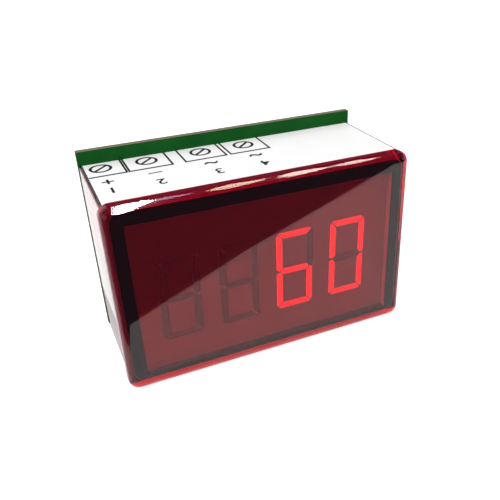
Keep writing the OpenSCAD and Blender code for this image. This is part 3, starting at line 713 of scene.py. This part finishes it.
# %% Terminal boxes
LINE, HEAVY_LINE = 0.46, 0.64
BOX_HALF = 4.7
HEAD_R = 2.15
SIDE_MARGIN = 0.3 * MM
BOX_FRONT = film_low.y + 15.6 * MM
SYMBOL_Y = film_low.y + 20.3 * MM


def box_tree():
    """Three sides of a box on each point, open towards the board, and a screw head inside it."""
    tree, given, out = geometry_tree("terminal boxes", {
        "Half width": BOX_HALF, "Depth": (film_high.y - BOX_FRONT) / MM, "Line": LINE,
        "Heavy line": HEAVY_LINE, "Head radius": HEAD_R, "Head back": (SYMBOL_Y - BOX_FRONT) / MM,
        "Ink": INK_T / MM})
    half, depth, ink_t = given["Half width"], given["Depth"], given["Ink"]
    line, heavy = given["Line"], given["Heavy line"]
    parts = []

    def bar(length, thick, at, turn=0.0):
        size = add(tree, "ShaderNodeCombineXYZ", None, X=length, Y=thick, Z=ink_t).outputs[0]
        cube = add(tree, "GeometryNodeMeshCube", None, Size=size)
        there = add(tree, "GeometryNodeTransform", None, Geometry=cube.outputs[0], Translation=at,
                    Rotation=(0, 0, math.radians(turn)))
        parts.append(there.outputs[0])

    def spot(x=0.0, y=0.0):
        return add(tree, "ShaderNodeCombineXYZ", None, X=x, Y=y).outputs[0]

    middle = math_node(tree, "MULTIPLY", depth, 0.5)
    double = math_node(tree, "MULTIPLY", half, 2.0)
    bar(math_node(tree, "ADD", double, line), heavy, spot())
    bar(line, depth, spot(half, middle))
    bar(line, depth, spot(math_node(tree, "MULTIPLY", half, -1.0), middle))

    rim = add(tree, "GeometryNodeCurvePrimitiveCircle", None, Resolution=48, Radius=given["Head radius"])
    section = add(tree, "GeometryNodeCurvePrimitiveQuadrilateral", None, Width=heavy, Height=ink_t)
    ring = add(tree, "GeometryNodeCurveToMesh", None, Curve=rim.outputs[0], Profile_Curve=section.outputs[0])
    centre = spot(0.0, given["Head back"])
    head = add(tree, "GeometryNodeTransform", None, Geometry=ring.outputs[0], Translation=centre)
    parts.append(head.outputs[0])
    slot_length = math_node(tree, "MULTIPLY", given["Head radius"], 1.9)
    bar(slot_length, heavy, centre, turn=45.0)

    joined = add(tree, "GeometryNodeJoinGeometry")
    for part in parts:
        tree.links.new(part, joined.inputs[0])
    return end_tree(tree, out, on_points(tree, given, joined.outputs[0]), ink)


boxes = grow("label_boxes", [(x, BOX_FRONT, INK_LEVEL) for x in poles], [], box_tree())
for vertex in boxes.data.vertices:
    vertex.co.x = max(vertex.co.x, film_low.x + SIDE_MARGIN)
place(boxes, ink, "label_paper")

# %% Signs and numbers
INK_SPREAD = 0.06 * MM


def letter(name, text, size, x, y, stretch=1.0):
    """Generic characters as thin ink on the film, turned to read from behind."""
    curve = bpy.data.curves.new(name, "FONT")
    curve.body = text
    curve.size = size * MM
    curve.align_x = curve.align_y = "CENTER"
    curve.extrude = INK_T / 2
    curve.offset = INK_SPREAD
    drawn = new_piece(name, curve)
    bpy.context.view_layer.update()
    graph = bpy.context.evaluated_depsgraph_get()
    mesh = bpy.data.meshes.new_from_object(drawn.evaluated_get(graph), depsgraph=graph)
    bpy.data.objects.remove(drawn)
    half_round = Matrix.Rotation(math.pi, 4, "Z")
    mesh.transform(Matrix.Translation((x, y, INK_LEVEL)) @ half_round @ Matrix.Diagonal((stretch, 1, 1, 1)))
    return mesh


def join(name, meshes):
    """One piece from several loose meshes."""
    shape = bmesh.new()
    for mesh in meshes:
        shape.from_mesh(mesh)
    whole = bpy.data.meshes.new(name)
    shape.to_mesh(whole)
    shape.free()
    return new_piece(name, whole)


SIGN_Y = film_low.y + 12.2 * MM
NUMBER_Y = film_low.y + 7.2 * MM
NUMBER_SIZE = 4.0
SIGNS = (("+", 5.0, 1), ("\u2013", 5.4, 1), ("~", 9.0, 0.62), ("~", 9.0, 0.62))
marks = [letter("sign", sign, size, x, SIGN_Y, stretch) for x, (sign, size, stretch) in zip(poles, SIGNS)]
marks += [letter("number", str(i), NUMBER_SIZE, x, NUMBER_Y) for i, x in enumerate(poles, start=1)]
signs = join("label_signs", marks)
place(signs, ink, "label_paper")

# %% Cut edges
LEFT_EDGE, RIGHT_EDGE = 0.26 * MM, 0.08 * MM


def edge_lines():
    """The film's cut edges show as dark lines, and the left one is the wider."""
    shape = bmesh.new()
    middle_y, length = middle_of((film_low.y, film_high.y)), film_high.y - film_low.y
    for x, width in ((film_low.x + LEFT_EDGE / 2, LEFT_EDGE), (film_high.x - RIGHT_EDGE / 2, RIGHT_EDGE)):
        strip = bmesh.ops.create_cube(shape, size=1.0)["verts"]
        bmesh.ops.scale(shape, vec=(width, length, INK_T), verts=strip)
        bmesh.ops.translate(shape, vec=(x, middle_y, INK_LEVEL), verts=strip)
    mesh = bpy.data.meshes.new("cut edges")
    shape.to_mesh(mesh)
    shape.free()
    return mesh


place(join("label_edge", [edge_lines()]), ink, "label_paper")
print("label:", len(boxes.data.polygons) + len(signs.data.polygons), "faces of ink")

# %% [markdown]
# ## Terminals
# The wires come in at two screw blocks behind the board. The blocks are moulded nylon with a soft
# sheen. The screws are zinc plated, and turn on their own bodies, and the clamps inside are brass.

# %% Terminals
nylon = finish("terminal_green", (0.012, 0.165, 0.060), 0.36, grain=(5000, 0.9), drift=0.06, depth=0.02)
for side in ("supply", "input"):
    dressed(f"terminal_block_{side}", f"screw_block_{side}", nylon, "terminal_green", bevel=0.22, segments=3)
tinned = finish("tinned_brass", (0.66, 0.63, 0.55), 0.32, metallic=1.0, grain=(3000, 0.4), depth=0.01)
for side in ("supply", "input"):
    dress_node(f"terminal_contacts_{side}", tinned)

zinc = finish("plated_steel", (0.60, 0.60, 0.58), 0.30, metallic=1.0, grain=(1800, 0.5), drift=0.08,
              hairlines=0.15, depth=0.01)
clamp_brass = finish("clamp_brass", (0.72, 0.52, 0.24), 0.34, metallic=1.0, grain=(2500, 0.5), drift=0.08,
                     depth=0.01)
for n in (1, 2, 3, 4):
    dressed(f"terminal_screw_{n}", f"slotted_screw_{n}", zinc, "plated_steel", 0.07, f"screw_{n}")
    dressed(f"wire_clamp_{n}", f"brass_clamp_{n}", clamp_brass, "clamp_brass", 0.12, f"clamp_{n}")
heads = dressed("board_screws", "pan_head_screws", zinc, "plated_steel", bevel=0.05, segments=1)
print("board screws:", len(heads.data.polygons), "faces")

# %% [markdown]
# ## Between the boards
# These pieces show only through the red sides. The package bodies are dull moulded resin and their
# legs are bright tin. A leg is told from its body by where it is, so each face of a copy is given
# the right one of the two finishes.

# %% Between the boards
brass = finish("brass", (0.70, 0.52, 0.25), 0.28, metallic=1.0, grain=(2000, 0.4), drift=0.06, depth=0.01)
gold = finish("gold_pin", (0.83, 0.62, 0.28), 0.25, metallic=1.0, grain=(2500, 0.4), depth=0.01)
resin = finish("black_package", (0.018, 0.018, 0.020), 0.52, grain=(4000, 0.8), drift=0.08, depth=0.015)
ceramic = finish("chip_ceramic", (0.045, 0.045, 0.050), 0.45, grain=(5000, 0.6), depth=0.01)
white_resin = finish("white_package", (0.70, 0.70, 0.67), 0.50, grain=(4000, 0.8), depth=0.015)
can = finish("nickel_can", (0.62, 0.61, 0.58), 0.26, metallic=1.0, grain=(1500, 0.5), hairlines=0.15,
             depth=0.01)
sleeve = finish("capacitor_sleeve", (0.012, 0.018, 0.075), 0.25, grain=(2500, 0.4), drift=0.06, depth=0.01)
chip = finish("led_chip", (0.75, 0.70, 0.50), 0.30, grain=(5000, 0.4), depth=0.01)
print("finishes so far:", len(bpy.data.materials))

# %% Banded resistors
RINGS = ((-2.4, (0.30, 0.02, 0.01)), (-1.3, (0.05, 0.02, 0.008)),
         (-0.2, (0.50, 0.20, 0.02)), (2.2, (0.45, 0.30, 0.08)))  # place from the middle in mm, colour
RING_INSIDE, RING_OUTSIDE = 0.28 * MM, 0.32 * MM


def make_banded_resistor():
    """Lacquered body with painted rings along its length."""
    material = finish("resistor_body", (0.42, 0.30, 0.17), 0.38, grain=(3500, 0.5), depth=0.01)
    tree, shader, tinted = parts_of(material)
    low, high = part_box("input_resistors")
    along = object_axes(tree)["X"]
    colour = tinted
    for offset, paint_colour in RINGS:
        ring_x = middle_of((low.x, high.x)) + offset * MM
        away = math_node(tree, "ABSOLUTE", math_node(tree, "SUBTRACT", along, ring_x))
        in_ring = spread(tree, away, RING_INSIDE, RING_OUTSIDE, 1.0, 0.0)
        colour = blend_colour(tree, in_ring, colour, paint_colour)
    tree.links.new(colour, shader.inputs["Base Color"])
    return material

# %% Packages and their legs
PACKAGE_EDGE = 0.1


def leaded(node, name, body_finish, slot, is_body):
    """A rounded copy of a package whose legs are tinned."""
    piece = bake_mesh(clean_copy(node, name, PACKAGE_EDGE))
    paint(piece, [body_finish, tinned], lambda face: 0 if is_body(face.center) else 1)
    legs = sum(face.material_index for face in piece.data.polygons)
    print(name, "has", len(piece.data.polygons) - legs, "body faces and", legs, "leg faces")
    return place(piece, body_finish, slot, replaces=[node])


def within(node, low_share, high_share):
    """Tests whether a point lies in a part of a node's box, given as shares of its three sides."""
    low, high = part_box(node)
    size = high - low

    def test(point):
        share = [(point[i] - low[i]) / size[i] for i in range(3)]
        return all(low_share[i] <= share[i] <= high_share[i] for i in range(3))
    return test

# %% Pieces between the boards
BOARD_FRONT = board_low.y
in_regulator = within("voltage_regulator", (-0.1, -1, 0.14), (1.1, 2, 0.69))
in_resistors = within("input_resistors", (0.16, -1, -1), (0.84, 2, 2))
leaded("microcontroller", "flat_package", resin, "black_package",
       within("microcontroller", (-1, -1, 0.11), (2, 0.96, 0.89)))
leaded("voltage_regulator", "power_package", resin, "black_package",
       lambda point: in_regulator(point) and point.y < BOARD_FRONT + NEAR)
for node, name, body_finish, slot in (
        ("crystal", "crystal_can", can, "nickel_can"),
        ("filter_capacitor", "tall_capacitor", sleeve, "capacitor_sleeve"),
        ("output_capacitor", "small_capacitor", sleeve, "capacitor_sleeve"),
        ("supply_diode", "rectifier", resin, "black_package")):
    leaded(node, name, body_finish, slot, lambda point: point.y < BOARD_FRONT - 2 * NEAR)
leaded("input_optocoupler", "coupler_package", white_resin, "white_package",
       within("input_optocoupler", (-1, -1, 0.09), (2, 0.53, 0.91)))
leaded("input_resistors", "banded_resistors", make_banded_resistor(), "resistor_body",
       lambda point: in_resistors(point) and point.y < BOARD_FRONT)
for node, material in (("board_spacers", brass), ("header_pins", gold), ("header_strips", resin),
                       ("segment_resistors", ceramic), ("digit_drivers", resin), ("segment_leds", chip)):
    dress_node(node, material)

# %% [markdown]
# ## Floor and light
# The background is plain white. Its brightness is set only for what the camera, a reflection or clear
# plastic sees, so it adds no light to the meter, and the floor still takes a soft shadow. The lamps
# are large and even.

# %% Floor
FLOOR_Z = cad_box[0][2]
FLOOR_HALF = 4.0
FLOOR_GLOW = 0.62


def make_floor():
    """A plane that is lit and shadowed as paper is, and glows besides where it is seen directly."""
    material, tree, shader = bare_material("floor", Base_Color=(0.80, 0.80, 0.80, 1), Roughness=0.9,
                                           Specular_IOR_Level=0.0, Emission_Color=(1, 1, 1, 1))
    glow = math_node(tree, "MULTIPLY", seen_directly(tree), FLOOR_GLOW)
    tree.links.new(glow, shader.inputs["Emission Strength"])
    mesh = bpy.data.meshes.new("floor")
    corners = [(x * FLOOR_HALF, y * FLOOR_HALF, FLOOR_Z) for x, y in ((-1, -1), (1, -1), (1, 1), (-1, 1))]
    mesh.from_pydata(corners, [], [(0, 1, 2, 3)])
    mesh.materials.append(material)
    new_piece("floor", mesh)


make_floor()
print("floor at", round(FLOOR_Z / MM, 2), "mm")

# %% World
world = bpy.data.worlds.new("studio")
bpy.context.scene.world = world
world.use_nodes = True
sky = world.node_tree
background = sky.nodes["Background"]
background.inputs["Color"].default_value = (1, 1, 1, 1)
SKY_LIGHT, SKY_SEEN = 0.50, 1.0
strength = spread(sky, seen_directly(sky), 0.0, 1.0, SKY_LIGHT, SKY_SEEN)
sky.links.new(strength, background.inputs["Strength"])

# %% Lamps
def area_lamp(name, at, size, power):
    """A round lamp turned to the middle, which shows in no reflection."""
    lamp = bpy.data.lights.new(name, "AREA")
    lamp.shape = "DISK"
    lamp.size = size
    lamp.energy = power
    light = new_piece(name, lamp)
    light.location = at
    light.rotation_euler = (Vector((0, 0, 0)) - Vector(at)).to_track_quat("-Z", "Y").to_euler()
    light.visible_glossy = False
    print("lamp", name, power, "W")


area_lamp("key", (-0.35, -0.30, 0.60), 0.45, 3.2)
area_lamp("fill", (0.55, -0.35, 0.35), 0.50, 1.0)
area_lamp("back", (0.15, 0.60, 0.45), 0.50, 1.2)

# %% [markdown]
# Polished plastic also shows what stands round it, and for that there are a few cards that only
# reflections can see. A dark one lies on the floor in front, and its far border draws the slanting
# line across the window. A narrow grey one beside the case stands for its shadow, mirrored low on the
# left side. Dark cards in front, overhead and behind keep the polished red deep, as in a room where
# only the lamps are bright. The cards are set for this camera, and other views mirror them elsewhere.

# %% Cards for reflections
def card(name, corners, colour, strength=1.0):
    """A flat card that only reflections see."""
    material = bare_material(name, Base_Color=(0, 0, 0, 1), Specular_IOR_Level=0.0,
                             Emission_Color=(*colour, 1), Emission_Strength=strength)[0]
    mesh = bpy.data.meshes.new(name)
    mesh.from_pydata(corners, [], [tuple(range(len(corners)))])
    mesh.materials.append(material)
    piece = new_piece(name, mesh)
    for kind in ("camera", "diffuse", "transmission", "volume_scatter", "shadow"):
        setattr(piece, "visible_" + kind, False)
    print("card:", name)

# %% Cards round the meter
FLOOR_CARD_Z = FLOOR_Z + 0.1 * MM
LEFT_X, FRONT_Y = -0.9, -3.9
BORDER_PLACES = ((-52.0, -8.0), (-31.3, -26.3), (13.1, -52.3), (87.0, -88.6))
border = [Vector(spot) * MM for spot in BORDER_PLACES]
border.append(border[-1] + (border[-1] - border[-2]) * 12)
outline = [(LEFT_X, border[0].y), *border, (border[-1].x, FRONT_Y), (LEFT_X, FRONT_Y)]
card("dark floor card", [(x, y, FLOOR_CARD_Z) for x, y in outline], (0.10, 0.105, 0.15))

SHADE_LEFT, SHADE_RIGHT = -34.9 * MM, -33.1 * MM
SHADE_FRONT, SHADE_BACK = 0.5 * MM, 50.0 * MM
card("contact shade", [(SHADE_LEFT, SHADE_FRONT, FLOOR_CARD_Z), (SHADE_RIGHT, SHADE_FRONT, FLOOR_CARD_Z),
                       (SHADE_RIGHT, SHADE_BACK, FLOOR_CARD_Z), (SHADE_LEFT, SHADE_BACK, FLOOR_CARD_Z)],
     (0.80, 0.74, 0.76))

CEILING_Z, CEILING_BACK, WALL_FOOT = 1.2, 0.35, 0.17
ROOM_DARK = (0.03, 0.03, 0.05)
for name, (left, right), (y1, z1), (y2, z2) in (
        ("dark ceiling card", (-2.0, 3.0), (FRONT_Y, CEILING_Z), (CEILING_BACK, CEILING_Z)),
        ("dark front card", (-2.0, 3.0), (FRONT_Y, FLOOR_CARD_Z), (FRONT_Y, CEILING_Z)),
        ("dark rear card", (-0.1, 0.75), (0.6, WALL_FOOT), (CEILING_BACK, CEILING_Z))):
    card(name, [(left, y1, z1), (right, y1, z1), (right, y2, z2), (left, y2, z2)], ROOM_DARK)

# %% [markdown]
# A glint on a rounded edge is the mirror image of a lamp. Each glint is set by where it should appear:
# some places along the top edge, and at each a range of tilts on its rounding, from 0 at the front to
# 90 on top. The mirror direction from there meets a level plane overhead, where its bright card lies.
# The smoothed shading leans outwards near the corner, so a glint shows a few millimetres further in
# than its places say, and the first of them lie past the corner.

# %% Glints
EDGE_R = 1.9 * MM
case_low, case_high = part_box("housing")
CARD_LEVEL = 0.85


def mirror_point(x, tilt):
    """Where the overhead plane is seen from a place on the top edge, x in mm and tilt in degrees."""
    outward = Vector((0, -math.cos(math.radians(tilt)), math.sin(math.radians(tilt))))
    spot = Vector((x * MM, case_low.y + EDGE_R, case_high.z - EDGE_R)) + outward * EDGE_R
    sight = (spot - CAMERA_AT).normalized()
    mirrored = sight - 2 * sight.dot(outward) * outward
    return spot + mirrored * ((CARD_LEVEL - spot.z) / mirrored.z)


for name, colour, strength, stations in (
        ("white glint", (1.0, 0.98, 1.0), 60.0,
         ((-36.4, 40, 62), (-34.8, 22, 74), (-32.6, 16, 78), (-30.8, 38, 74), (-28.4, 56, 66))),
        ("violet glint", (0.75, 0.6, 1.0), 7.0, ((-28.0, 54, 64), (-24.5, 50, 66), (-20.0, 54, 62))),
        ("first streak", (1.0, 0.80, 0.64), 18.0, ((-16.0, 50, 60), (-11.0, 42, 70), (-3.0, 52, 64))),
        ("second streak", (1.0, 0.84, 0.74), 22.0, ((1.0, 52, 62), (4.0, 40, 72), (12.0, 48, 66))),
        ("third streak", (1.0, 0.80, 0.72), 18.0, ((15.5, 52, 62), (21.0, 44, 70), (27.5, 52, 62)))):
    corners = [mirror_point(x, low) for x, low, high in stations]
    corners += [mirror_point(x, high) for x, low, high in reversed(stations)]
    card(name, corners, colour, strength)

# %% Boxes and finish
print("cad box", [tuple(round(v / MM, 2) for v in c) for c in cad_box])
